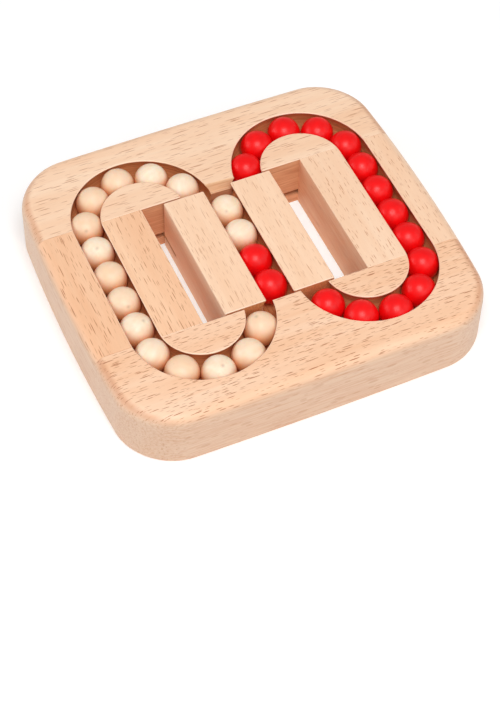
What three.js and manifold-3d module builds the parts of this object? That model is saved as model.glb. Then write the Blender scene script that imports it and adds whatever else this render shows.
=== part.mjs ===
// Two-loop rolling-bead track puzzle with a sliding centre shuttle.
// Millimetres, +Z up, X across both loops, Y from the front edge to the back edge.
// The board rests on z = 0 and its plan is centred on the origin.
import * as THREE from 'three';
import { mergeVertices } from 'three/addons/utils/BufferGeometryUtils.js';
import Module from 'manifold-3d';

// ---- driving dimensions ----------------------------------------------------
const BOARD_W = 111.4;        // overall width
const BOARD_D = 102;          // overall depth
const BOARD_H = 18;           // thickness
const CORNER_R = 16;           // plan corner radius
const LOOPS_DX = 1.3;          // the loops sit this far right of the board's middle: the left rim is the wider one
const BOW_X = 0.02;           // slight sanded bow of the left and right edges
const BOW_Y = 0.007;          // slight sanded bow of the front and back edges
const TOP_ROUND = 3.5;        // round-over of the outer top edge
const BASE_CHAMFER = 0.6;     // eased outer bottom edge

const WINDOW_X = 24.8;        // half width of the through window
const WINDOW_Y = 22.4;        // half length of the through window, and the rail joint line
const GLUE_GAP = 0.02;        // rail to stile joint

const LOOP_X = 24.8;          // loop centre line, left and right of the middle
const ARC_Y = 20.5;           // arc centres, front and back of the middle
const TRACK_R = 16.45;        // radius of the bead path on the arcs
const BEAD_D = 9.8;           // bead diameter
const BEAD_Z = 14.3;          // bead centre height
const BORE_R = 5.2;           // radius of the round-bottomed track
const BORE_Z = BEAD_Z - BEAD_D / 2 - 0.02 + BORE_R;

const SHUTTLE_X = -1.67;      // shuttle centre as stored, off the middle
const SHUTTLE_HALF_W = 16.5;
const SHUTTLE_HALF_L = 21.9;

const SLOT_Z0 = 3.2;          // tongue slot in the shuttle's ends
const SLOT_Z1 = 4.9;
const SLOT_DEPTH = 8.7;
const TONGUE_Z0 = 3.55;
const TONGUE_Z1 = 4.88;
const TONGUE_OUT = 4.6;       // how far a tongue reaches past the joint line
const GROOVE_Z0 = 3.1;        // groove in the rails' inner edges
const GROOVE_Z1 = 5.1;
const GROOVE_DEPTH = 5.2;
const GROOVE_HALF = 42;

const LOOP_BEADS = 14;        // beads held in each loop's track
const BEAD_PITCH = BEAD_D + 0.05;
const SHUTTLE_BEAD_PITCH = 10.05;

// ---- solids helpers --------------------------------------------------------
const wasm = await Module();
wasm.setup();
const { Manifold, Mesh } = wasm;

function solid(geometry) {
  const g = geometry.clone();
  g.deleteAttribute('normal');
  g.deleteAttribute('uv');
  const m = mergeVertices(g, 1e-4);
  return new Manifold(new Mesh({
    numProp: 3,
    vertProperties: new Float32Array(m.attributes.position.array),
    triVerts: new Uint32Array(m.index.array),
  }));
}

function toGeometry(manifold) {
  const mesh = manifold.getMesh();
  const g = new THREE.BufferGeometry();
  const p = new Float32Array(mesh.numVert * 3);
  for (let i = 0; i < mesh.numVert; i++) {
    for (let k = 0; k < 3; k++) p[i * 3 + k] = mesh.vertProperties[i * mesh.numProp + k];
  }
  g.setAttribute('position', new THREE.BufferAttribute(p, 3));
  g.setIndex(new THREE.BufferAttribute(new Uint32Array(mesh.triVerts), 1));
  g.computeVertexNormals();
  return g;
}

function box(x0, x1, y0, y1, z0, z1) {
  const g = new THREE.BoxGeometry(x1 - x0, y1 - y0, z1 - z0);
  g.translate((x0 + x1) / 2, (y0 + y1) / 2, (z0 + z1) / 2);
  return solid(g);
}

// ---- the board blank -------------------------------------------------------
function outline() {
  const pts = [];
  const hw = BOARD_W / 2, hd = BOARD_D / 2, n = 9;
  const corners = [[1, 1, 0], [-1, 1, 90], [-1, -1, 180], [1, -1, 270]];
  for (const [sx, sy, a0] of corners) {
    const cx = sx * (hw - CORNER_R), cy = sy * (hd - CORNER_R);
    for (let i = 0; i <= n; i++) {
      const a = THREE.MathUtils.degToRad(a0 + 90 * i / n);
      pts.push([cx + CORNER_R * Math.cos(a), cy + CORNER_R * Math.sin(a)]);
    }
    // points along the side that follows, so that the side can bow
    for (const t of [0.7, 0.35, 0, -0.35, -0.7]) {
      const along = { 0: [1, 0], 90: [0, 1], 180: [-1, 0], 270: [0, -1] }[a0];
      const out = { 0: [0, hd], 90: [-hw, 0], 180: [0, -hd], 270: [hw, 0] }[a0];
      pts.push([out[0] + along[0] * t * (hw - CORNER_R), out[1] + along[1] * t * (hd - CORNER_R)]);
    }
  }
  return pts.map(([x, y]) => new THREE.Vector2(
    -LOOPS_DX + x * (1 - BOW_X * (y / (hd - CORNER_R)) ** 2), y * (1 - BOW_Y * (x / (hw - CORNER_R)) ** 2)));
}

function slab(bevel, segments, z0, z1) {
  const g = new THREE.ExtrudeGeometry(new THREE.Shape(outline()), {
    depth: z1 - z0 - 2 * bevel, bevelEnabled: true, bevelThickness: bevel,
    bevelSize: bevel, bevelOffset: -bevel, bevelSegments: segments, steps: 1,
  });
  g.translate(0, 0, z0 + bevel);
  return solid(g);
}

const blank = slab(TOP_ROUND, 4, -8, BOARD_H)
  .intersect(slab(BASE_CHAMFER, 1, 0, BOARD_H + 6));

// ---- the undercut track ----------------------------------------------------
// Section of the track about the bead path: a round bore opening to the top face.
function section() {
  const half = Math.sqrt(BORE_R ** 2 - (BOARD_H - BORE_Z) ** 2);
  const start = Math.atan2(BOARD_H - BORE_Z, half);
  const sweep = -(Math.PI + 2 * start);
  const n = 14, pts = [[half, BOARD_H + 1]];
  for (let i = 0; i <= n; i++) {
    const a = start + sweep * i / n;
    pts.push([BORE_R * Math.cos(a), BORE_Z + BORE_R * Math.sin(a)]);
  }
  pts.push([-half, BOARD_H + 1]);
  return pts;
}

function ring(cx, cy) {
  // the lathe turns about its own Y axis, which is then stood up along Z
  const prof = section().map(([u, z]) => new THREE.Vector2(TRACK_R + u, z));
  prof.push(prof[0].clone());
  prof.reverse();
  const g = new THREE.LatheGeometry(prof, 44);
  g.rotateX(Math.PI / 2);
  g.translate(cx, cy, 0);
  return solid(g);
}

function straight(cx, y0, y1) {
  const shape = new THREE.Shape(section().map(([u, z]) => new THREE.Vector2(u, z)));
  const g = new THREE.ExtrudeGeometry(shape, { depth: y1 - y0, bevelEnabled: false });
  g.rotateX(Math.PI / 2);       // the section's up stays +Z, the length runs along -Y
  g.translate(cx, y1, 0);
  return solid(g);
}

function loopCutter(side) {
  const cx = side * LOOP_X;
  const back = ring(cx, ARC_Y).intersect(box(-90, 90, ARC_Y, 90, -5, 40));
  const front = ring(cx, -ARC_Y).intersect(box(-90, 90, -90, -ARC_Y, -5, 40));
  const outer = straight(cx + side * TRACK_R, -ARC_Y, ARC_Y);
  return Manifold.union([back, front, outer]);
}

const tracks = Manifold.union([loopCutter(-1), loopCutter(1)]);

// ---- frame pieces ----------------------------------------------------------
function rail(sign) {
  const y0 = sign > 0 ? WINDOW_Y : -90, y1 = sign > 0 ? 90 : -WINDOW_Y;
  let r = blank.intersect(box(-90, 90, y0, y1, -20, 40)).subtract(tracks);
  const g0 = sign > 0 ? WINDOW_Y - 1 : -WINDOW_Y - GROOVE_DEPTH;
  const g1 = sign > 0 ? WINDOW_Y + GROOVE_DEPTH : -WINDOW_Y + 1;
  r = r.subtract(box(-GROOVE_HALF, GROOVE_HALF, g0, g1, GROOVE_Z0, GROOVE_Z1));
  return r;
}

// Loading notch: a skewed bevel on the web between the two loops, back rail only.
function notch() {
  const s = new THREE.Shape([
    new THREE.Vector2(0, 0), new THREE.Vector2(0.55, 1.2), new THREE.Vector2(1.25, 3.2),
    new THREE.Vector2(-2, 3.2), new THREE.Vector2(-2, 0),
  ]);
  const g = new THREE.ExtrudeGeometry(s, { depth: 9.4, bevelEnabled: false });
  // section X -> +Y, section Y -> +Z, length -> +X
  g.applyMatrix4(new THREE.Matrix4().set(
    0, 0, 1, -4.9,
    1, 0, 0, WINDOW_Y,
    0, 1, 0, BOARD_H - 3,
    0, 0, 0, 1));
  return solid(g);
}

function stile(side) {
  const gy = WINDOW_Y - GLUE_GAP;
  const x0 = side > 0 ? WINDOW_X : -90, x1 = side > 0 ? 90 : -WINDOW_X;
  let s = blank.intersect(box(x0, x1, -gy, gy, -20, 40)).subtract(tracks);
  const tx0 = side > 0 ? WINDOW_X + 2 : -GROOVE_HALF + 0.4;
  const tx1 = side > 0 ? GROOVE_HALF - 0.4 : -WINDOW_X - 2;
  const reach = WINDOW_Y + GROOVE_DEPTH - 0.3;
  s = Manifold.union([s, box(tx0, tx1, -reach, reach, GROOVE_Z0 + 0.15, GROOVE_Z1 - 0.15)]);
  return s;
}

const backRail = rail(1).subtract(notch());
const frontRail = rail(-1);
const leftStile = stile(-1);
const rightStile = stile(1);

// ---- shuttle ---------------------------------------------------------------
function shuttleBlock() {
  let b = box(-SHUTTLE_HALF_W, SHUTTLE_HALF_W, -SHUTTLE_HALF_L, SHUTTLE_HALF_L, 0, BOARD_H);
  b = b.subtract(straight(0, -SHUTTLE_HALF_L - 2, SHUTTLE_HALF_L + 2));
  for (const s of [1, -1]) {
    const a = s * (SHUTTLE_HALF_L - SLOT_DEPTH), c = s * (SHUTTLE_HALF_L + 2);
    b = b.subtract(box(-SHUTTLE_HALF_W - 2, SHUTTLE_HALF_W + 2,
      Math.min(a, c), Math.max(a, c), SLOT_Z0, SLOT_Z1));
  }
  return b;
}

function tongue() {
  const y0 = SHUTTLE_HALF_L - SLOT_DEPTH + 0.2, y1 = WINDOW_Y + TONGUE_OUT;
  const g = new THREE.BoxGeometry(2 * SHUTTLE_HALF_W - 0.1, y1 - y0, TONGUE_Z1 - TONGUE_Z0);
  return { geometry: g, y: (y0 + y1) / 2, z: (TONGUE_Z0 + TONGUE_Z1) / 2 };
}

// ---- bead places -----------------------------------------------------------
// Distance along a loop's path, from the back arc's inner end, round the outer
// side, to the front arc's inner end. Left loop; the right loop is its mirror.
const ARC_LEN = Math.PI * TRACK_R;
const PATH_LEN = 2 * ARC_LEN + 2 * ARC_Y;

function onPath(s) {
  if (s < ARC_LEN) {
    const a = s / TRACK_R;
    return [-LOOP_X + TRACK_R * Math.cos(a), ARC_Y + TRACK_R * Math.sin(a)];
  }
  if (s < ARC_LEN + 2 * ARC_Y) return [-LOOP_X - TRACK_R, ARC_Y - (s - ARC_LEN)];
  const a = Math.PI + (s - ARC_LEN - 2 * ARC_Y) / TRACK_R;
  return [-LOOP_X + TRACK_R * Math.cos(a), -ARC_Y + TRACK_R * Math.sin(a)];
}

function train(offset) {
  // beads one pitch apart by straight distance, starting at a path distance
  const out = [offset];
  while (out.length < LOOP_BEADS) {
    const a = out[out.length - 1];
    let lo = a + BEAD_PITCH * 0.9, hi = a + BEAD_PITCH * 1.2;
    const [ax, ay] = onPath(a);
    for (let k = 0; k < 60; k++) {
      const m = (lo + hi) / 2, [mx, my] = onPath(m);
      if (Math.hypot(mx - ax, my - ay) < BEAD_PITCH) lo = m; else hi = m;
    }
    out.push((lo + hi) / 2);
  }
  return out;
}

const END_S = TRACK_R * Math.asin((SHUTTLE_HALF_L + BEAD_D / 2 - ARC_Y) / TRACK_R);
const span = (() => { const t = train(END_S); return t[t.length - 1] - t[0]; })();
const SLACK = PATH_LEN - 2 * END_S - span;
const places = train(END_S + SLACK / 2);

// ---- assembly --------------------------------------------------------------
const BEECH = 0xe8c39c, BEECH_SIDE = 0xdcb48c, BALL = 0xecca9f, RED = 0xd8101a;

function mesh(name, geometry, color, roughness) {
  const m = new THREE.Mesh(geometry, new THREE.MeshStandardMaterial({ color, roughness, metalness: 0 }));
  m.name = name;
  return m;
}

// everything is laid out about the middle of the loops, then moved so that the board is centred
const group = new THREE.Group();
group.position.x = LOOPS_DX;

const frame = new THREE.Group();
frame.add(mesh('back_rail', toGeometry(backRail), BEECH, 0.6));
frame.add(mesh('front_rail', toGeometry(frontRail), BEECH, 0.6));
frame.add(mesh('left_stile', toGeometry(leftStile), BEECH_SIDE, 0.6));
frame.add(mesh('right_stile', toGeometry(rightStile), BEECH_SIDE, 0.6));
group.add(frame);

const shuttle = new THREE.Group();
shuttle.position.x = SHUTTLE_X;
shuttle.add(mesh('shuttle_block', toGeometry(shuttleBlock()), BEECH, 0.6));
for (const [name, s] of [['shuttle_back_tongue', 1], ['shuttle_front_tongue', -1]]) {
  const t = tongue();
  const m = mesh(name, t.geometry, BEECH_SIDE, 0.7);
  m.position.set(0, s * t.y, t.z);
  shuttle.add(m);
}
const ball = () => new THREE.SphereGeometry(BEAD_D / 2, 12, 8).rotateX(Math.PI / 2);
for (let i = 0; i < 4; i++) {
  const m = mesh(`shuttle_bead_${i + 1}`, ball(), i < 2 ? BALL : RED, i < 2 ? 0.5 : 0.3);
  m.position.set(0, SHUTTLE_BEAD_PITCH * (1.5 - i), BEAD_Z);
  shuttle.add(m);
}
group.add(shuttle);

for (const [side, label, color, rough] of [[1, 'left', BALL, 0.5], [-1, 'right', RED, 0.3]]) {
  const loop = new THREE.Group();
  places.forEach((s, i) => {
    const [x, y] = onPath(s);
    const m = mesh(`${label}_bead_${String(i + 1).padStart(2, '0')}`, ball(), color, rough);
    m.position.set(side * x, y, BEAD_Z);
    loop.add(m);
  });
  group.add(loop);
}

export default group;
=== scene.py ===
# Looks for the two-loop bead track puzzle: fine meshes, procedural beech, studio light.
import math
import random

import bmesh
import bpy
import numpy as np
from mathutils import Matrix, Quaternion, Vector


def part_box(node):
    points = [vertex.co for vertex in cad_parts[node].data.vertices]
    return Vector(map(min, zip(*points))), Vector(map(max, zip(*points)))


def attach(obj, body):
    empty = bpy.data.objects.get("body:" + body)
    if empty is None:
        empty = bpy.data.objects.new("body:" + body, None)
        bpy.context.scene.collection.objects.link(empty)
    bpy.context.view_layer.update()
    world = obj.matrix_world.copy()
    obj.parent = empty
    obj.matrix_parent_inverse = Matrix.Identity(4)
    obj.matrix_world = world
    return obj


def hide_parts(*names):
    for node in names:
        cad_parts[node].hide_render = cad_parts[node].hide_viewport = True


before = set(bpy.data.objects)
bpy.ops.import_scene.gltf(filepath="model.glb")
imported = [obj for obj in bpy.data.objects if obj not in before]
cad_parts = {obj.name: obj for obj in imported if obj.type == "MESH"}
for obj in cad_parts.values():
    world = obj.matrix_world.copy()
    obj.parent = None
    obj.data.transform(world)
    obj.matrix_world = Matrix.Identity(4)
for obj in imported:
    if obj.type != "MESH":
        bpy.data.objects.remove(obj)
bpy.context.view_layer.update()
scene = bpy.context.scene
MM = 0.001

# ---- sizes, as in the CAD (mm) ---------------------------------------------
W, D, H = 111.4, 102.0, 18.0
LOOPS_DX = 1.3                     # the loops sit this far right of the board's middle
CORNER_R, BOW_X, BOW_Y = 16.0, 0.02, 0.007
TOP_ROUND = 3.5
WIN_X, WIN_Y = 24.8, 22.4
LOOP_X, ARC_Y, TRACK_R = 24.8, 20.5, 16.45
BEAD_D, BEAD_Z = 9.8, 14.3
BORE_R = 5.2
BORE_Z = BEAD_Z - BEAD_D / 2 - 0.02 + BORE_R
SHUTTLE_X, SH_HW, SH_HL = -1.67, 16.5, 21.9
SLOT_Z0, SLOT_Z1, SLOT_DEPTH = 3.2, 4.9, 8.7
TONGUE_Z0, TONGUE_Z1, TONGUE_OUT = 3.55, 4.88, 4.6
GROOVE_Z0, GROOVE_Z1, GROOVE_DEPTH = 3.1, 5.1, 5.2
INSET = 0.02                       # keeps the fine meshes inside the CAD box


# ---- mesh helpers ----------------------------------------------------------
def new_obj(name, verts, faces):
    me = bpy.data.meshes.new(name)
    me.from_pydata([tuple(v) for v in verts], [], faces)
    me.validate(verbose=False)
    ob = bpy.data.objects.new(name, me)
    scene.collection.objects.link(ob)
    bm = bmesh.new()
    bm.from_mesh(me)
    bmesh.ops.remove_doubles(bm, verts=bm.verts, dist=1e-7)
    bmesh.ops.recalc_face_normals(bm, faces=bm.faces)
    bm.to_mesh(me)
    bm.free()
    return ob


def rings_obj(name, rings, close=False):
    """Skins a list of equal-length closed rings; caps the ends unless the stack closes on itself."""
    n = len(rings[0])
    verts = [p for r in rings for p in r]
    faces = []
    m = len(rings)
    for i in range(m if close else m - 1):
        a, b = i * n, ((i + 1) % m) * n
        for k in range(n):
            k2 = (k + 1) % n
            faces.append((a + k, a + k2, b + k2, b + k))
    if not close:
        faces.append(tuple(range(n))[::-1])
        faces.append(tuple(range((m - 1) * n, m * n)))
    return new_obj(name, verts, faces)


def box_obj(name, x0, x1, y0, y1, z0, z1):
    r = lambda z: [(x0, y0, z), (x1, y0, z), (x1, y1, z), (x0, y1, z)]
    return rings_obj(name, [r(z0), r(z1)])


def boolean(ob, other, op, keep=False):
    mod = ob.modifiers.new("b", "BOOLEAN")
    mod.operation, mod.solver, mod.object = op, "EXACT", other
    dg = bpy.context.evaluated_depsgraph_get()
    dg.update()
    me = bpy.data.meshes.new_from_object(ob.evaluated_get(dg))
    ob.modifiers.clear()
    old = ob.data
    ob.data = me
    bpy.data.meshes.remove(old)
    if not keep:
        bpy.data.objects.remove(other, do_unlink=True)
    return ob


def copy_obj(ob, name):
    c = ob.copy()
    c.data = ob.data.copy()
    c.name = name
    scene.collection.objects.link(c)
    return c


def outline(inset=0.0):
    """Board outline, moved in by a distance along its own normal."""
    hw, hd = W / 2 - INSET, D / 2 - INSET
    pts, n = [], 22
    along = {0: (1, 0), 90: (0, 1), 180: (-1, 0), 270: (0, -1)}
    out = {0: (0, hd), 90: (-hw, 0), 180: (0, -hd), 270: (hw, 0)}
    for sx, sy, a0 in ((1, 1, 0), (-1, 1, 90), (-1, -1, 180), (1, -1, 270)):
        cx, cy = sx * (hw - CORNER_R), sy * (hd - CORNER_R)
        for i in range(n + 1):
            a = math.radians(a0 + 90 * i / n)
            pts.append((cx + CORNER_R * math.cos(a), cy + CORNER_R * math.sin(a)))
        for j in range(1, 12):
            t = 1 - 2 * j / 12
            pts.append((out[a0][0] + along[a0][0] * t * (hw - CORNER_R), out[a0][1] + along[a0][1] * t * (hd - CORNER_R)))
    p = np.array([(-LOOPS_DX + x * (1 - BOW_X * (y / (hd - CORNER_R)) ** 2), y * (1 - BOW_Y * (x / (hw - CORNER_R)) ** 2)) for x, y in pts])
    d = np.roll(p, -1, 0) - np.roll(p, 1, 0)
    nrm = np.c_[d[:, 1], -d[:, 0]] / np.hypot(d[:, 0], d[:, 1])[:, None]
    return p - nrm * inset


def blank():
    rings = []
    base = 0.7
    for k in range(5):
        a = math.pi / 2 * k / 4
        rings.append((base * (1 - math.sin(a)), base * (1 - math.cos(a))))
    rings[0] = (base, 0.0)
    rings = [(base * (1 - math.sin(math.pi / 2 * k / 4)), base * (1 - math.cos(math.pi / 2 * k / 4))) for k in range(5)]
    for k in range(15):
        a = math.pi / 2 * k / 14
        rings.append((TOP_ROUND * (1 - math.cos(a)), H - TOP_ROUND + TOP_ROUND * math.sin(a)))
    return rings_obj("blank", [[(x, y, z) for x, y in outline(i)] for i, z in rings])


def track_section(n=36, lip=0.34):
    """Half-open round bore with a softened lip where it meets the top face."""
    half = math.sqrt(BORE_R ** 2 - (H - lip - BORE_Z) ** 2)
    start = math.atan2(H - lip - BORE_Z, half)
    pts = [(half + lip * 1.0 + 0.9, H + 0.9), (half + lip, H)]
    for k in range(1, 5):
        a = math.pi / 2 * k / 4
        pts.append((half + lip * (1 - math.sin(a)), H - lip * (1 - math.cos(a))))
    sweep = -(math.pi + 2 * start)
    for i in range(1, n):
        a = start + sweep * i / n
        pts.append((BORE_R * math.cos(a), BORE_Z + BORE_R * math.sin(a)))
    left = [(-x, z) for x, z in pts[:6]][::-1]
    return pts + left


def ring_cutter(cx, cy, n=176):
    sec = track_section()
    rings = []
    for i in range(n):
        a = 2 * math.pi * i / n
        rings.append([(cx + (TRACK_R + u) * math.cos(a), cy + (TRACK_R + u) * math.sin(a), z) for u, z in sec])
    return rings_obj("ring", rings, close=True)


def straight_cutter(cx, y0, y1):
    sec = track_section()
    return rings_obj("str", [[(cx + u, y, z) for u, z in sec] for y in (y0, y1)])


def prism_x(name, tri, x0, x1):
    """A (y, z) polygon run along X."""
    return rings_obj(name, [[(x, y, z) for y, z in tri] for x in (x0, x1)])


def prism_y(name, tri, y0, y1):
    return rings_obj(name, [[(x, y, z) for x, z in tri] for y in (y0, y1)])


def round_edge(s_in, c, r, top, n=4):
    """Cutter section that rounds a top edge: wall at c, solid on the s_in side, radius r."""
    pts = [(c - s_in * 1.0, top + 1.0), (c - s_in * 1.0, top - r)]
    arc = []
    for k in range(n + 1):
        a = math.pi / 2 * k / n
        arc.append((c + s_in * r * (1 - math.cos(a)), top - r + r * math.sin(a)))
    return pts + arc + [(c + s_in * r, top + 1.0)]


def finish_mesh(ob, angle=32):
    me = ob.data
    bm = bmesh.new()
    bm.from_mesh(me)
    bmesh.ops.remove_doubles(bm, verts=bm.verts, dist=2e-4)
    bmesh.ops.dissolve_degenerate(bm, edges=bm.edges, dist=1e-4)
    bmesh.ops.recalc_face_normals(bm, faces=bm.faces)
    bm.to_mesh(me)
    bm.free()
    me.transform(Matrix.Scale(MM, 4) @ Matrix.Translation((LOOPS_DX, 0, 0)))
    me.polygons.foreach_set("use_smooth", [True] * len(me.polygons))
    me.set_sharp_from_angle(angle=math.radians(angle))
    mod = ob.modifiers.new("wn", "WEIGHTED_NORMAL")
    mod.keep_sharp = True
    mod.weight = 100
    dg = bpy.context.evaluated_depsgraph_get()
    dg.update()
    new = bpy.data.meshes.new_from_object(ob.evaluated_get(dg))
    ob.modifiers.clear()
    ob.data = new
    return ob


# ---- frame pieces ----------------------------------------------------------
blank_ob = blank()


def rail(name, sign):
    ob = copy_obj(blank_ob, name)
    y0, y1 = (WIN_Y, 90) if sign > 0 else (-90, -WIN_Y)
    boolean(ob, box_obj("c", -90, 90, y0, y1, -5, 30), "INTERSECT")
    for cx in (-LOOP_X, LOOP_X):
        boolean(ob, ring_cutter(cx, sign * ARC_Y), "DIFFERENCE")
    g = (WIN_Y - 1, WIN_Y + GROOVE_DEPTH) if sign > 0 else (-WIN_Y - GROOVE_DEPTH, -WIN_Y + 1)
    boolean(ob, box_obj("g", -42, 42, g[0], g[1], GROOVE_Z0, GROOVE_Z1), "DIFFERENCE")
    # softened edge over the window, hairline ease over the glued joints
    sec = [(y, z) for y, z in round_edge(sign, sign * WIN_Y, 0.28, H)]
    boolean(ob, prism_x("e", sec, -WIN_X, WIN_X), "DIFFERENCE")
    low = [(y, H - z) for y, z in round_edge(sign, sign * WIN_Y, 0.22, H)]
    boolean(ob, prism_x("e2", low, -WIN_X, WIN_X), "DIFFERENCE")
    for x0, x1 in ((-90, -WIN_X - 0.001), (WIN_X + 0.001, 90)):
        sec = [(y, z) for y, z in round_edge(sign, sign * (WIN_Y), 0.07, H, 1)]
        boolean(ob, prism_x("e3", sec, x0, x1), "DIFFERENCE")
    if sign > 0:
        # loading notch: a scooped bevel on the web between the loops
        rings = []
        for i in range(25):
            t = i / 24
            x = -4.95 + t * 9.3
            depth = 1.42 - 0.55 * t
            fall = 2.7 + 0.45 * t
            sec = [(WIN_Y - 2, H + 1.2), (WIN_Y - 2, H - fall)]
            for k in range(9):
                u = k / 8
                v = u * math.pi / 2
                yy = WIN_Y + depth * (0.55 * math.sin(v) + 0.45 * u)
                zz = H - fall + fall * (0.55 * (1 - math.cos(v)) + 0.45 * u)
                if k == 0:
                    sec.append((yy - 0.001, zz - 0.22))
                    sec.append((yy + 0.06, zz - 0.06))
                    yy += 0.22
                if k == 8:
                    zz -= 0.2
                sec.append((yy, zz))
            sec.append((WIN_Y + depth + 0.07, H - 0.05))
            sec.append((WIN_Y + depth + 0.24, H))
            sec.append((WIN_Y + depth + 0.6, H + 1.2))
            rings.append([(x, y, z) for y, z in sec])
        boolean(ob, rings_obj("notch", rings), "DIFFERENCE")
    return finish_mesh(ob)


def stile(name, side):
    ob = copy_obj(blank_ob, name)
    gy = WIN_Y - 0.02
    x0, x1 = (WIN_X, 90) if side > 0 else (-90, -WIN_X)
    boolean(ob, box_obj("c", x0, x1, -gy, gy, -5, 30), "INTERSECT")
    boolean(ob, straight_cutter(side * (LOOP_X + TRACK_R), -ARC_Y, ARC_Y), "DIFFERENCE")
    for s in (1, -1):
        r = ring_cutter(side * LOOP_X, s * ARC_Y)
        half = box_obj("h", -90, 90, *((ARC_Y, 90) if s > 0 else (-90, -ARC_Y)), -5, 40)
        boolean(r, half, "INTERSECT")
        boolean(ob, r, "DIFFERENCE")
    sec = round_edge(side, side * WIN_X, 0.28, H)
    boolean(ob, prism_y("e", sec, -30, 30), "DIFFERENCE")
    low = [(x, H - z) for x, z in round_edge(side, side * WIN_X, 0.22, H)]
    boolean(ob, prism_y("e2", low, -30, 30), "DIFFERENCE")
    for s in (1, -1):
        sec = [(y, z) for y, z in round_edge(-s, s * gy, 0.07, H, 1)]
        boolean(ob, prism_x("e3", sec, -90, 90), "DIFFERENCE")
    a, b = (WIN_X + 2, 41.6) if side > 0 else (-41.6, -WIN_X - 2)
    reach = WIN_Y + GROOVE_DEPTH - 0.3
    boolean(ob, box_obj("t", a, b, -reach, reach, GROOVE_Z0 + 0.15, GROOVE_Z1 - 0.15), "UNION")
    return finish_mesh(ob)


def shuttle_section(e):
    """Closed (x, z) section of the shuttle, drawn in by e at its ends."""
    r = 0.28
    lip = 0.34
    hw, top, bot = SH_HW - e, H - e, e
    pts = []
    for k in range(5):                      # bottom right
        a = -math.pi / 2 + math.pi / 2 * k / 4
        pts.append((hw - r + r * math.cos(a), bot + r + r * math.sin(a)))
    for k in range(5):                      # top right
        a = math.pi / 2 * k / 4
        pts.append((hw - r + r * math.cos(a), top - r + r * math.sin(a)))
    br = BORE_R + e
    zl = top - lip
    half = math.sqrt(br ** 2 - (zl - BORE_Z) ** 2)
    start = math.atan2(zl - BORE_Z, half)
    for k in range(5):
        a = math.pi / 2 * k / 4
        pts.append((half + lip * (1 - math.sin(a)), top - lip * (1 - math.cos(a))))
    n = 36
    sweep = -(math.pi + 2 * start)
    for i in range(1, n):
        a = start + sweep * i / n
        pts.append((br * math.cos(a), BORE_Z + br * math.sin(a)))
    for k in range(4, -1, -1):
        a = math.pi / 2 * k / 4
        pts.append((-(half + lip * (1 - math.sin(a))), top - lip * (1 - math.cos(a))))
    for k in range(4, -1, -1):
        a = math.pi / 2 * k / 4
        pts.append((-(hw - r + r * math.cos(a)), top - r + r * math.sin(a)))
    for k in range(4, -1, -1):
        a = -math.pi / 2 + math.pi / 2 * k / 4
        pts.append((-(hw - r + r * math.cos(a)), bot + r + r * math.sin(a)))
    return pts


def shuttle():
    rings = []
    b = 0.24
    ends = [(-SH_HL + b * (1 - math.cos(math.pi / 2 * k / 3)) if False else -SH_HL + b * (1 - math.cos(math.radians(30 * k))), b * (1 - math.sin(math.radians(30 * k)))) for k in range(4)]
    ys = ends + [(-12.0, 0.0), (0.0, 0.0), (12.0, 0.0)] + [(-y, e) for y, e in ends[::-1]]
    for y, e in ys:
        rings.append([(SHUTTLE_X + x, y, z) for x, z in shuttle_section(e)])
    ob = rings_obj("shuttle_fine", rings)
    for s in (1, -1):
        a, c = sorted((s * (SH_HL - SLOT_DEPTH), s * (SH_HL + 2)))
        boolean(ob, box_obj("s", SHUTTLE_X - 20, SHUTTLE_X + 20, a, c, SLOT_Z0, SLOT_Z1), "DIFFERENCE")
    return finish_mesh(ob)


def tongue(name, s):
    y0, y1 = SH_HL - SLOT_DEPTH + 0.2, WIN_Y + TONGUE_OUT
    r = 0.12
    rings = []
    hw = SH_HW - 0.05
    for x, e in ((-hw, r), (-hw + r, 0), (-hw / 2, 0), (hw / 2, 0), (hw - r, 0), (hw, r)):
        sec = []
        for cy, cz, a0 in ((y1, TONGUE_Z1, 0), (y0, TONGUE_Z1, 90), (y0, TONGUE_Z0, 180), (y1, TONGUE_Z0, 270)):
            sy = 1 if cy == y1 else -1
            sz = 1 if cz == TONGUE_Z1 else -1
            for k in range(4):
                a = math.radians(a0 + 30 * k)
                q = r - e * 0.6
                sec.append((cy - sy * (r + e * 0.4) + r * math.cos(a) * (1 if e == 0 else 0.7), cz - sz * (r + e * 0.4) + r * math.sin(a) * (1 if e == 0 else 0.7)))
        rings.append([(SHUTTLE_X + x, s * y, z) for y, z in sec])
    return finish_mesh(rings_obj(name, rings))


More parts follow.
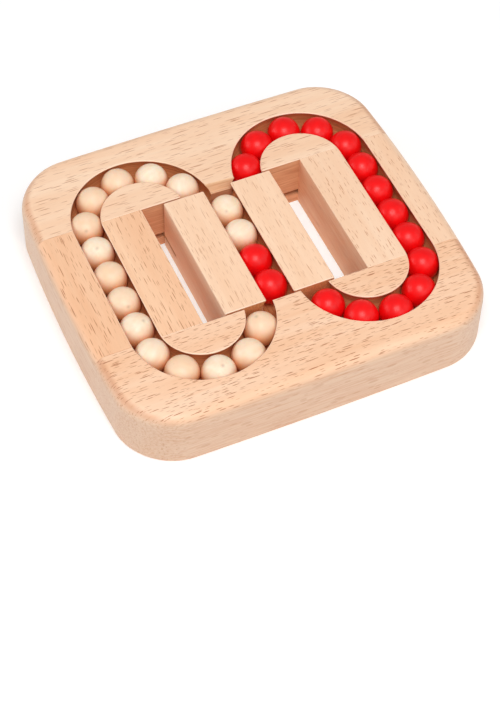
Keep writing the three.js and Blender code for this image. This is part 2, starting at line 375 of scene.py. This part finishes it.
# ---- materials -------------------------------------------------------------
class Nodes:
    def __init__(self, name):
        self.mat = bpy.data.materials.new(name)
        self.mat.use_nodes = True
        self.t = self.mat.node_tree
        self.t.nodes.clear()
        self.out = self.t.nodes.new("ShaderNodeOutputMaterial")
        self.bsdf = self.t.nodes.new("ShaderNodeBsdfPrincipled")
        self.link(self.bsdf.outputs[0], self.out.inputs[0])

    def link(self, a, b):
        self.t.links.new(a, b)

    def add(self, kind, **kw):
        n = self.t.nodes.new(kind)
        for k, v in kw.items():
            setattr(n, k, v)
        return n

    def put(self, sock, v):
        if isinstance(v, bpy.types.NodeSocket):
            self.link(v, sock)
        else:
            sock.default_value = v

    def math(self, op, a, b=None, c=None, clamp=False):
        n = self.add("ShaderNodeMath", operation=op, use_clamp=clamp)
        self.put(n.inputs[0], a)
        if b is not None:
            self.put(n.inputs[1], b)
        if c is not None:
            self.put(n.inputs[2], c)
        return n.outputs[0]

    def vmath(self, op, a, b=None):
        n = self.add("ShaderNodeVectorMath", operation=op)
        self.put(n.inputs[0], a)
        if b is not None:
            self.put(n.inputs[1], b)
        return n.outputs["Value"] if op in ("LENGTH", "DOT_PRODUCT", "DISTANCE") else n.outputs["Vector"]

    def noise(self, vec, scale=1.0, detail=2.0, rough=0.5, distort=0.0):
        n = self.add("ShaderNodeTexNoise")
        self.put(n.inputs["Vector"], vec)
        n.inputs["Scale"].default_value = scale
        n.inputs["Detail"].default_value = detail
        n.inputs["Roughness"].default_value = rough
        n.inputs["Distortion"].default_value = distort
        return n.outputs["Fac"]

    def range(self, v, a, b, c=0.0, d=1.0, smooth=False):
        n = self.add("ShaderNodeMapRange", clamp=True)
        if smooth:
            n.interpolation_type = "SMOOTHSTEP"
        self.put(n.inputs[0], v)
        for i, x in enumerate((a, b, c, d)):
            n.inputs[i + 1].default_value = x
        return n.outputs[0]

    def mix(self, fac, a, b, blend="MIX"):
        n = self.add("ShaderNodeMix", data_type="RGBA", blend_type=blend)
        self.put(n.inputs[0], fac)
        self.put(n.inputs[6], a)
        self.put(n.inputs[7], b)
        return n.outputs[2]


def lin(r, g, b):
    f = lambda c: (c / 255 / 12.92) if c / 255 <= 0.04045 else ((c / 255 + 0.055) / 1.055) ** 2.4
    return (f(r), f(g), f(b), 1.0)


def flecks(N, co, cell, half, seed, chance, soft=0.45):
    """Sparse lens-shaped flecks. co is in mm with X along the grain."""
    off = N.vmath("ADD", co, (seed * 13.7, seed * 5.3, seed * 9.1))
    sc = N.vmath("DIVIDE", off, cell)
    v = N.add("ShaderNodeTexVoronoi", voronoi_dimensions="3D", feature="F1")
    v.inputs["Scale"].default_value = 1.0
    v.inputs["Randomness"].default_value = 1.0
    N.put(v.inputs["Vector"], sc)
    d = N.vmath("SUBTRACT", sc, v.outputs["Position"])
    d = N.vmath("MULTIPLY", d, cell)
    d = N.vmath("DIVIDE", d, half)
    r = N.vmath("LENGTH", d)
    m = N.range(r, 1.0, 1.0 - soft, 0.0, 1.0, smooth=True)
    sep = N.add("ShaderNodeSeparateColor")
    N.put(sep.inputs[0], v.outputs["Color"])
    on = N.range(sep.outputs[0], 1.0 - chance, min(1.0, 1.0 - chance + 0.35), 0.0, 1.0)
    return N.math("MULTIPLY", m, on)


def wood(name, axis, pale, tan, dark, fleck=0.75, size=1.0, row=1.0, density=1.0, side=None, rough=0.5, seed=1.0, bump=0.35, band=1.0, spec=0.35):
    N = Nodes(name)
    tc = N.add("ShaderNodeTexCoord")
    co = N.vmath("SCALE", tc.outputs["Object"])
    co.node.inputs["Scale"].default_value = 1000.0
    if axis == "Y":
        r = N.add("ShaderNodeVectorRotate", rotation_type="Z_AXIS")
        N.put(r.inputs["Vector"], co)
        r.inputs["Angle"].default_value = math.radians(-90)
        co = r.outputs[0]
    co = N.vmath("ADD", co, (seed * 17.3, seed * 31.1, seed * 7.7))
    # slow wander of the grain
    wob = N.noise(N.vmath("DIVIDE", co, (38.0, 11.0, 11.0)), 1.0, 1.0, 0.4)
    wob = N.math("MULTIPLY_ADD", wob, 1.2, -0.6)
    cmb = N.add("ShaderNodeCombineXYZ")
    N.put(cmb.inputs[1], wob)
    cow = N.vmath("ADD", co, cmb.outputs[0])
    # growth bands and fibre
    broad = N.noise(N.vmath("DIVIDE", cow, (95.0, 7.5, 9.0)), 1.0, 3.0, 0.55)
    mid = N.noise(N.vmath("DIVIDE", cow, (26.0, 1.5, 1.8)), 1.0, 2.0, 0.5)
    fibre = N.noise(N.vmath("DIVIDE", cow, (5.5, 0.16, 0.2)), 1.0, 2.0, 0.55)
    blot = N.noise(N.vmath("DIVIDE", co, (30.0, 18.0, 18.0)), 1.0, 2.0, 0.5)
    b = N.range(broad, 0.32, 0.68, 0.0, 1.0)
    base = N.mix(N.math("MULTIPLY", b, band), pale, tan)
    base = N.mix(N.range(mid, 0.35, 0.75, 0.0, 0.5 * band), base, tan)
    base = N.mix(N.range(blot, 0.45, 0.75, 0.0, 0.22), base, pale)
    f1 = flecks(N, cow, (4.6 * size, 1.05 * row, 0.9), (1.9 * size, 0.13, 0.40), seed, 0.9 * density)
    f2 = flecks(N, cow, (3.2 * size, 0.8 * row, 0.8), (1.15 * size, 0.10, 0.32), seed + 3.1, 0.7 * density)
    f3 = flecks(N, cow, (7.6 * size, 2.0 * row, 1.6), (2.9 * size, 0.16, 0.7), seed + 6.7, 0.75 * density)
    fl = N.math("MAXIMUM", N.math("MAXIMUM", f1, N.math("MULTIPLY", f2, 0.75)), f3)
    brk = N.range(fibre, 0.3, 0.6, 0.55, 1.0)
    fl = N.math("MULTIPLY", fl, brk)
    geo = N.add("ShaderNodeNewGeometry")
    sep = N.add("ShaderNodeSeparateXYZ")
    N.put(sep.inputs[0], geo.outputs["Normal"])
    up = N.range(N.math("ABSOLUTE", sep.outputs[2]), 0.25, 0.85, 0.0, 1.0, smooth=True)
    end = N.range(N.math("ABSOLUTE", sep.outputs[0 if axis == "X" else 1]), 0.12, 0.6, 0.0, 1.0, smooth=True)
    end = N.math("MULTIPLY", end, up)
    base = N.mix(N.math("MULTIPLY", end, 0.5), base, (dark[0] * 1.25, dark[1] * 1.35, dark[2] * 1.4, 1))
    amt = N.math("MULTIPLY", fl, N.math("MULTIPLY_ADD", up, fleck * 0.72, fleck * 0.28))
    # vertical faces blend toward the side tone, darker and duller than the top: partly painted shade of those sides
    if side is not None:
        base = N.mix(N.math("SUBTRACT", 1.0, up), base, N.mix(0.72, base, side))
    col = N.mix(amt, base, dark)
    shade = N.range(fibre, 0.25, 0.75, 0.965, 1.02)
    g = N.add("ShaderNodeCombineColor")
    for i in range(3):
        N.put(g.inputs[i], shade)
    col = N.mix(1.0, col, g.outputs[0], "MULTIPLY")
    streak = N.noise(N.vmath("DIVIDE", cow, (14.0, 0.6, 0.42)), 1.0, 3.0, 0.6)
    streak = N.math("MULTIPLY", N.range(streak, 0.42, 0.7, 0.0, 0.42), N.math("SUBTRACT", 1.0, up))
    col = N.mix(streak, col, (dark[0] * 1.25, dark[1] * 1.35, dark[2] * 1.4, 1))
    N.put(N.bsdf.inputs["Base Color"], col)
    ro = N.math("MULTIPLY_ADD", fl, 0.12, rough)
    ro = N.math("ADD", ro, N.range(fibre, 0.2, 0.8, -0.04, 0.05))
    N.put(N.bsdf.inputs["Roughness"], ro)
    N.bsdf.inputs["Specular IOR Level"].default_value = spec
    hgt = N.math("SUBTRACT", N.math("MULTIPLY", fibre, 0.35), N.math("MULTIPLY", fl, 0.8))
    bp = N.add("ShaderNodeBump")
    bp.inputs["Strength"].default_value = bump
    bp.inputs["Distance"].default_value = 0.00006
    N.put(bp.inputs["Height"], hgt)
    N.put(N.bsdf.inputs["Normal"], bp.outputs[0])
    return N.mat


def milled(name, kind, pale, dark, seed=1.0, cx=0.0, cy=0.0, rough=0.6):
    """Cut wall left by a cutter, with fine passes; the warmer, darker tones given for the track and window walls are
    partly painted shade of those recesses. kind: X or Y run, or ARC about (cx, cy).
    """
    N = Nodes(name)
    tc = N.add("ShaderNodeTexCoord")
    co = N.vmath("SCALE", tc.outputs["Object"])
    co.node.inputs["Scale"].default_value = 1000.0
    co = N.vmath("SUBTRACT", co, (LOOPS_DX, 0.0, 0.0))
    sep = N.add("ShaderNodeSeparateXYZ")
    N.put(sep.inputs[0], co)
    x, y, z = sep.outputs
    if kind == "ARC":
        ax = N.math("ABSOLUTE", x)
        ay = N.math("ABSOLUTE", y)
        dx = N.math("SUBTRACT", ax, cx)
        dy = N.math("SUBTRACT", ay, cy)
        rr = N.math("SQRT", N.math("ADD", N.math("MULTIPLY", dx, dx), N.math("MULTIPLY", dy, dy)))
        an = N.math("MULTIPLY", N.math("ARCTAN2", dy, dx), TRACK_R)
        along, across = an, rr
    elif kind == "Y":
        along, across = y, x
    else:
        along, across = x, y
    c = N.add("ShaderNodeCombineXYZ")
    N.put(c.inputs[0], along)
    N.put(c.inputs[1], across)
    N.put(c.inputs[2], z)
    v = N.vmath("ADD", c.outputs[0], (seed * 11.1, seed * 3.7, seed * 5.9))
    passes = N.noise(N.vmath("DIVIDE", v, (16.0, 0.55, 0.55)), 1.0, 3.0, 0.6)
    blot = N.noise(N.vmath("DIVIDE", v, (9.0, 5.0, 5.0)), 1.0, 3.0, 0.55)
    fib = N.noise(N.vmath("DIVIDE", v, (4.0, 0.18, 0.2)), 1.0, 2.0, 0.5)
    col = N.mix(N.range(passes, 0.35, 0.7), pale, dark)
    col = N.mix(N.range(blot, 0.4, 0.75, 0.0, 0.45), col, dark)
    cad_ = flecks(N, v, (6.0, 2.2, 2.0), (1.7, 0.16, 0.16), seed, 0.5)
    col = N.mix(N.math("MULTIPLY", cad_, 0.55), col, (dark[0] * 0.5, dark[1] * 0.42, dark[2] * 0.4, 1))
    N.put(N.bsdf.inputs["Base Color"], col)
    N.bsdf.inputs["Specular IOR Level"].default_value = 0.25
    N.put(N.bsdf.inputs["Roughness"], N.range(fib, 0.2, 0.8, rough - 0.05, rough + 0.08))
    bp = N.add("ShaderNodeBump")
    bp.inputs["Strength"].default_value = 0.5
    bp.inputs["Distance"].default_value = 0.00012
    N.put(bp.inputs["Height"], N.math("ADD", N.math("MULTIPLY", passes, 0.8), N.math("MULTIPLY", fib, 0.2)))
    N.put(N.bsdf.inputs["Normal"], bp.outputs[0])
    return N.mat


def bead_mat(name, red):
    N = Nodes(name)
    at = N.add("ShaderNodeAttribute", attribute_name="bead_co")
    co = at.outputs["Vector"]
    fibre = N.noise(N.vmath("DIVIDE", co, (0.16, 0.16, 2.6)), 1.0, 2.0, 0.55)
    broad = N.noise(N.vmath("DIVIDE", co, (2.0, 2.0, 11.0)), 1.0, 3.0, 0.55)
    sep = N.add("ShaderNodeSeparateXYZ")
    N.put(sep.inputs[0], co)
    if red:
        speck = N.noise(N.vmath("DIVIDE", co, (0.35, 0.35, 0.35)), 1.0, 3.0, 0.6)
        col = N.mix(N.range(broad, 0.35, 0.7), (0.93, 0.003, 0.004, 1), (0.82, 0.002, 0.0035, 1))
        N.put(N.bsdf.inputs["Base Color"], col)
        N.put(N.bsdf.inputs["Roughness"], N.range(speck, 0.3, 0.7, 0.30, 0.37))
        N.bsdf.inputs["Specular IOR Level"].default_value = 0.32
        h = N.math("ADD", N.math("MULTIPLY", fibre, 0.25), N.math("MULTIPLY", speck, 0.35))
    else:
        attr = N.add("ShaderNodeAttribute", attribute_name="bead_tone")
        tone = attr.outputs["Fac"]
        f = flecks(N, N.vmath("ADD", co, (40.0, 20.0, 10.0)), (2.3, 2.3, 3.2), (0.1, 0.1, 0.55), 2.0, 0.30)
        col = N.mix(N.range(broad, 0.3, 0.7), lin(254, 236, 213), lin(250, 219, 189))
        col = N.mix(tone, col, lin(242, 198, 158))
        col = N.mix(N.math("MULTIPLY", f, 0.6), col, lin(190, 134, 92))
        pa = N.add("ShaderNodeAttribute", attribute_name="bead_pip")
        pip = N.math("MULTIPLY", pa.outputs["Fac"], 0.42)
        col = N.mix(pip, col, lin(158, 128, 104))
        geo = N.add("ShaderNodeNewGeometry")
        gs = N.add("ShaderNodeSeparateXYZ")
        N.put(gs.inputs[0], geo.outputs["Normal"])
        N.bsdf.inputs["Subsurface Weight"].default_value = 0.22
        N.bsdf.inputs["Subsurface Radius"].default_value = (1.0, 0.42, 0.18)
        N.bsdf.inputs["Subsurface Scale"].default_value = 0.0016
        # painted warm shade on the lower half of each natural bead, standing in for the light bounced off the track
        # walls
        low = N.range(gs.outputs[2], 0.82, 0.0, 0.0, 0.94, smooth=True)
        col = N.mix(low, col, lin(231, 156, 100))
        N.put(N.bsdf.inputs["Base Color"], col)
        N.put(N.bsdf.inputs["Roughness"], N.range(fibre, 0.2, 0.8, 0.34, 0.44))
        N.bsdf.inputs["Specular IOR Level"].default_value = 0.4
        h = N.math("SUBTRACT", N.math("MULTIPLY", fibre, 0.3), N.math("MULTIPLY", f, 0.5))
    bp = N.add("ShaderNodeBump")
    bp.inputs["Strength"].default_value = 0.25
    bp.inputs["Distance"].default_value = 0.00005
    N.put(bp.inputs["Height"], h)
    N.put(N.bsdf.inputs["Normal"], bp.outputs[0])
    return N.mat


# the side tone for vertical faces is darker and duller than the top: partly painted shade
PALE, TAN, DARK, SIDE_TONE_AND_SHADE = lin(252, 220, 191), lin(244, 200, 165), lin(184, 120, 84), lin(212, 184, 160)
rail_b = wood("beech_back_rail", "X", PALE, TAN, lin(180, 114, 76), fleck=0.85, size=1.15, density=1.0, side=SIDE_TONE_AND_SHADE, seed=1.0, rough=0.44)
rail_f = wood("beech_front_rail", "X", lin(251, 214, 184), lin(241, 190, 151), lin(172, 104, 66), fleck=1.0, size=0.72, row=0.85, density=1.05, side=SIDE_TONE_AND_SHADE, seed=2.0, rough=0.44)
stile_l = wood("beech_left_stile", "Y", lin(250, 207, 171), lin(240, 186, 146), lin(170, 100, 60), fleck=0.82, size=1.0, row=0.9, density=1.0, side=SIDE_TONE_AND_SHADE, seed=3.0, rough=0.44)
stile_r = wood("beech_right_stile", "Y", PALE, TAN, lin(194, 130, 90), fleck=0.8, size=0.6, density=0.85, side=SIDE_TONE_AND_SHADE, seed=4.0, rough=0.44)
wall_s = milled("sawn_wall_shuttle", "Y", lin(252, 221, 192), lin(246, 201, 166), 9.0)
sh_m = wood("beech_shuttle", "Y", lin(253, 217, 186), lin(245, 202, 167), lin(198, 142, 104), fleck=0.65, size=0.8, density=1.0, side=lin(222, 164, 124), seed=5.0, rough=0.44)
tongue_m = wood("beech_tongue", "X", lin(226, 176, 132), lin(204, 150, 106), lin(140, 90, 58), fleck=0.5, size=0.7, seed=6.0, rough=0.65)
# paler, glossier colour for the eased edges: a painted highlight of the light catching them
edge_highlight_m = wood("beech_eased_edge_painted_highlight", "X", lin(254, 232, 210), lin(252, 220, 192), lin(220, 166, 126), fleck=0.4, size=0.8, seed=7.0, rough=0.36)
notch_m = wood("beech_notch", "X", lin(250, 208, 168), lin(238, 184, 138), lin(190, 124, 80), fleck=0.6, size=0.8, seed=8.0, rough=0.5)
# window-wall tones, darker than the top face: partly painted shade of the narrow windows
WALL_SHADE_P, WALL_SHADE_D = lin(242, 202, 170), lin(229, 172, 134)
# track walls: warmer, darker brown, partly cutter scorch and partly painted shade of the deep tracks
mill_arc_shaded = milled("milled_arc_painted_shade", "ARC", lin(230, 160, 106), lin(192, 116, 70), 1.0, LOOP_X, ARC_Y)
mill_run_shaded = milled("milled_run_painted_shade", "Y", lin(230, 160, 106), lin(192, 116, 70), 2.0)
# rail window walls and groove, stile window walls: darker, browner tones, partly painted shade of the narrow windows
wall_x_shaded = milled("sawn_wall_x_painted_shade", "X", lin(230, 176, 134), lin(200, 134, 96), 3.0)
wall_y_shaded = milled("sawn_wall_y_painted_shade", "Y", WALL_SHADE_P, WALL_SHADE_D, 4.0)
nat_m, red_m = bead_mat("bead_natural", False), bead_mat("bead_red", True)


def assign(ob, mats, chooser):
    ob.data.materials.clear()
    for m in mats:
        ob.data.materials.append(m)
    for p in ob.data.polygons:
        p.material_index = chooser(p.center * 1000 - Vector((LOOPS_DX, 0, 0)), p.normal)


def highlight_edge_faces(c, n):
    """Thin broken edge of the top face round the tracks and the windows; these faces get a paler colour, a painted
    highlight.
    """
    if not (0.002 < H - c.z < 0.4 and 0.08 < n.z < 0.97):
        return False
    r = math.hypot(abs(c.x) - LOOP_X, abs(c.y) - ARC_Y) if abs(c.y) > ARC_Y else abs(abs(c.x) - LOOP_X)
    return r < TRACK_R + 4.6


def rail_pick(c, n):
    if abs(c.x) < 5 and WIN_Y - 0.02 < c.y < 24.6 and 14.6 < c.z < H - 0.001 and n.z > 0.12 and n.y < -0.15:
        return 4
    if highlight_edge_faces(c, n) and not (abs(c.x) < 4.4 and c.y > 0 and c.y < 24.4):
        return 3
    if abs(abs(c.y) - WIN_Y) < 0.03 and abs(n.y) > 0.9:
        return 2
    if abs(c.y) < 28 and GROOVE_Z0 - 0.01 < c.z < GROOVE_Z1 + 0.01 and abs(c.x) < 42.1 and abs(c.y) > WIN_Y + 0.05:
        return 2
    r = math.hypot(abs(c.x) - LOOP_X, abs(c.y) - ARC_Y)
    if 0.5 < c.z < H - 0.33 and abs(r - TRACK_R) < BORE_R + 0.3 and c.z > 8 and abs(c.x) < 50 and abs(c.y) < 45:
        return 1
    return 0


def stile_pick(c, n):
    if highlight_edge_faces(c, n):
        return 3
    if abs(abs(c.x) - WIN_X) < 0.03 and abs(n.x) > 0.9:
        return 2
    if 8 < c.z < H - 0.33 and abs(abs(c.x) - LOOP_X - TRACK_R) < BORE_R + 0.3:
        return 1
    return 0


def shuttle_pick(c, n):
    # top-edge round-overs get the paler edge colour: a painted highlight
    if 0.002 < H - c.z < 0.4 and 0.08 < n.z < 0.97:
        return 3
    x = c.x - SHUTTLE_X
    if abs(abs(x) - SH_HW) < 0.03 and abs(n.x) > 0.9:
        return 2
    if 8 < c.z < H - 0.33 and abs(x) < BORE_R + 0.1:
        return 1
    if abs(n.y) > 0.9:
        return 2
    return 0


def place(ob, node, body):
    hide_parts(node)
    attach(ob, body)


made = {}
for nm, sg, mt in (("back_rail_fine", 1, rail_b), ("front_rail_fine", -1, rail_f)):
    ob = rail(nm, sg)
    assign(ob, [mt, mill_arc_shaded, wall_x_shaded, edge_highlight_m, notch_m], rail_pick)
    place(ob, nm[:-5], "frame")
for nm, sd, mt in (("left_stile_fine", -1, stile_l), ("right_stile_fine", 1, stile_r)):
    ob = stile(nm, sd)
    assign(ob, [mt, mill_run_shaded, wall_y_shaded, edge_highlight_m], stile_pick)
    place(ob, nm[:-5], "frame")
bpy.data.objects.remove(blank_ob, do_unlink=True)
sh = shuttle()
assign(sh, [sh_m, mill_run_shaded, wall_s, edge_highlight_m], shuttle_pick)
place(sh, "shuttle_block", "shuttle")
for nm, s in (("shuttle_back_tongue", 1), ("shuttle_front_tongue", -1)):
    t = tongue(nm + "_fine", s)
    assign(t, [tongue_m], lambda c, n: 0)
    place(t, nm, "shuttle")


# ---- beads -----------------------------------------------------------------
def bead(name, centre, rng, mat):
    """Turned ball: a lathe profile with a tiny pip left at each pole."""
    R, nu, nv = BEAD_D / 2 - 0.01, 56, 36
    verts, faces = [], []
    egg = rng.uniform(-0.012, 0.012)
    for j in range(nv + 1):
        th = math.pi * j / nv
        for i in range(nu):
            ph = 2 * math.pi * i / nu
            r = R * (1 - 0.0035 * math.sin(th * 2 + egg * 40) ** 2)
            if j in (0, nv):
                r -= 0.05
            verts.append((r * math.sin(th) * math.cos(ph), r * math.sin(th) * math.sin(ph), r * math.cos(th)))
    for j in range(nv):
        for i in range(nu):
            a, b = j * nu + i, j * nu + (i + 1) % nu
            if j == 0:
                faces.append((a, b + nu, a + nu)[::-1] if False else (a, a + nu, b + nu))
            elif j == nv - 1:
                faces.append((a, a + nu, b))
            else:
                faces.append((a, a + nu, b + nu, b))
    ob = new_obj(name, verts, faces)
    me = ob.data
    q = Quaternion((rng.gauss(0, 1), rng.gauss(0, 1), rng.gauss(0, 1), rng.gauss(0, 1))).normalized()
    if name in PIPS_UP:
        q = Vector(PIPS_UP[name]).to_track_quat("Z", "Y")
    co = np.zeros(len(me.vertices) * 3, np.float32)
    me.vertices.foreach_get("co", co)
    shift = np.array([rng.uniform(-30, 30), rng.uniform(-30, 30), 0.0], np.float32)
    at = me.attributes.new("bead_co", "FLOAT_VECTOR", "POINT")
    at.data.foreach_set("vector", (co.reshape(-1, 3) + shift).ravel())
    tn = me.attributes.new("bead_tone", "FLOAT", "POINT")
    tn.data.foreach_set("value", np.full(len(me.vertices), rng.random() ** 2 * 0.7, np.float32))
    pp = me.attributes.new("bead_pip", "FLOAT", "POINT")
    rad = np.hypot(co.reshape(-1, 3)[:, 0], co.reshape(-1, 3)[:, 1])
    pp.data.foreach_set("value", np.interp(rad, [0.0, 0.3, 0.6], [1.0, 0.7, 0.0]).astype(np.float32))
    me.transform(Matrix.Scale(MM, 4) @ q.to_matrix().to_4x4())
    me.polygons.foreach_set("use_smooth", [True] * len(me.polygons))
    me.materials.append(mat)
    ob.location = centre
    return ob


rng = random.Random(41)
PIPS_UP = {"shuttle_bead_1_fine": (-0.25, -0.6, 0.75), "left_bead_06_fine": (-0.1, -0.35, 0.93), "left_bead_12_fine": (0.1, -0.3, 0.95), "left_bead_09_fine": (0.35, -0.2, 0.9)}
for node in sorted(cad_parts):
    if "_bead_" not in node:
        continue
    lo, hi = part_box(node)
    red = node.startswith("right") or node in ("shuttle_bead_3", "shuttle_bead_4")
    ob = bead(node + "_fine", (lo + hi) / 2, rng, red_m if red else nat_m)
    place(ob, node, node)

# ---- floor, light, camera --------------------------------------------------
fl = new_obj("floor", [(-3, -3, 0), (3, -3, 0), (3, 3, 0), (-3, 3, 0)], [(0, 1, 2, 3)])
N = Nodes("floor_paper")
tc = N.add("ShaderNodeTexCoord")
gr = N.noise(tc.outputs["Object"], 260.0, 3.0, 0.5)
far = N.range(N.vmath("LENGTH", tc.outputs["Object"]), 0.25, 1.6, 0.12, 0.62, smooth=True)
paper = N.mix(gr, (0.93, 0.93, 0.935, 1), (0.95, 0.95, 0.952, 1))
# painted cool tint and a faint painted glow under the board, so the warm light the walls throw on it reads as white
painted_under_board = N.range(N.vmath("LENGTH", tc.outputs["Object"]), 0.036, 0.05, 1.0, 0.0, smooth=True)
N.put(N.bsdf.inputs["Base Color"], N.mix(painted_under_board, paper, (0.80, 0.93, 0.985, 1)))
N.bsdf.inputs["Roughness"].default_value = 0.85
N.bsdf.inputs["Specular IOR Level"].default_value = 0.1
N.bsdf.inputs["Emission Color"].default_value = (1, 1, 1, 1)
N.put(N.bsdf.inputs["Emission Strength"], N.math("ADD", far, N.math("MULTIPLY", painted_under_board, 0.09)))
fl.data.materials.append(N.mat)
fl.location.z = -0.00005

world = bpy.data.worlds.new("studio")
scene.world = world
world.use_nodes = True
bg = world.node_tree.nodes["Background"]
bg.inputs[0].default_value = (1.0, 0.995, 0.985, 1)
bg.inputs[1].default_value = 0.38
wt = world.node_tree
lp = wt.nodes.new("ShaderNodeLightPath")
sky = wt.nodes.new("ShaderNodeBackground")
sky.inputs[0].default_value = (0.97, 0.97, 0.975, 1)
sky.inputs[1].default_value = 0.97
wm = wt.nodes.new("ShaderNodeMixShader")
wt.links.new(lp.outputs["Is Camera Ray"], wm.inputs[0])
wt.links.new(bg.outputs[0], wm.inputs[1])
wt.links.new(sky.outputs[0], wm.inputs[2])
wt.links.new(wm.outputs[0], wt.nodes["World Output"].inputs[0])


def area(name, az, el, dist, size, power, color=(1, 1, 1)):
    l = bpy.data.lights.new(name, "AREA")
    l.shape, l.size, l.size_y, l.energy, l.color = "RECTANGLE", size[0], size[1], power, color
    o = bpy.data.objects.new(name, l)
    a, e = math.radians(az), math.radians(el)
    back = Vector((math.sin(a) * math.cos(e), -math.cos(a) * math.cos(e), math.sin(e)))
    o.location = back * dist + Vector((0, 0, 0.01))
    o.rotation_mode = "QUATERNION"
    o.rotation_quaternion = (-back).to_track_quat("-Z", "Y")
    scene.collection.objects.link(o)
    return o


area("key", -18, 66, 0.9, (0.45, 0.45), 4.7)
area("front", 15, 36, 1.0, (0.7, 0.35), 1.3)
area("left", -112, 22, 1.0, (0.6, 0.6), 2.4, (0.93, 0.97, 1.0))
area("right", 66, 30, 1.0, (0.6, 0.6), 0.8)

cam = bpy.data.cameras.new("cam")
co = bpy.data.objects.new("cam", cam)
scene.collection.objects.link(co)
AZ, EL, ROLL, DIST, F_PX, PX, PY = -25.06, 50.18, 1.3, 547.7, 1901.75, 250.0, 275.0
TGT = Vector((0.01 + LOOPS_DX, 1.63, 0.0))
a, e, ro = math.radians(AZ), math.radians(EL), math.radians(ROLL)
back = Vector((math.sin(a) * math.cos(e), -math.cos(a) * math.cos(e), math.sin(e)))
right = Vector((0, 0, 1)).cross(back).normalized()
up = back.cross(right)
r2 = right * math.cos(ro) + up * math.sin(ro)
u2 = up * math.cos(ro) - right * math.sin(ro)
co.matrix_world = Matrix.Translation((TGT + back * DIST) * MM) @ Matrix((r2, u2, back)).transposed().to_4x4()
cam.sensor_width = 36
cam.lens = F_PX * 36 / 702
cam.shift_x = -(PX - 250) / 702
cam.shift_y = (PY - 351) / 702
cam.clip_start, cam.clip_end = 0.01, 20
scene.camera = co
scene.view_settings.view_transform = "Standard"
scene.view_settings.look = "None"
scene.view_settings.exposure = 0.0
scene.cycles.max_bounces = 12
scene.cycles.diffuse_bounces = 8
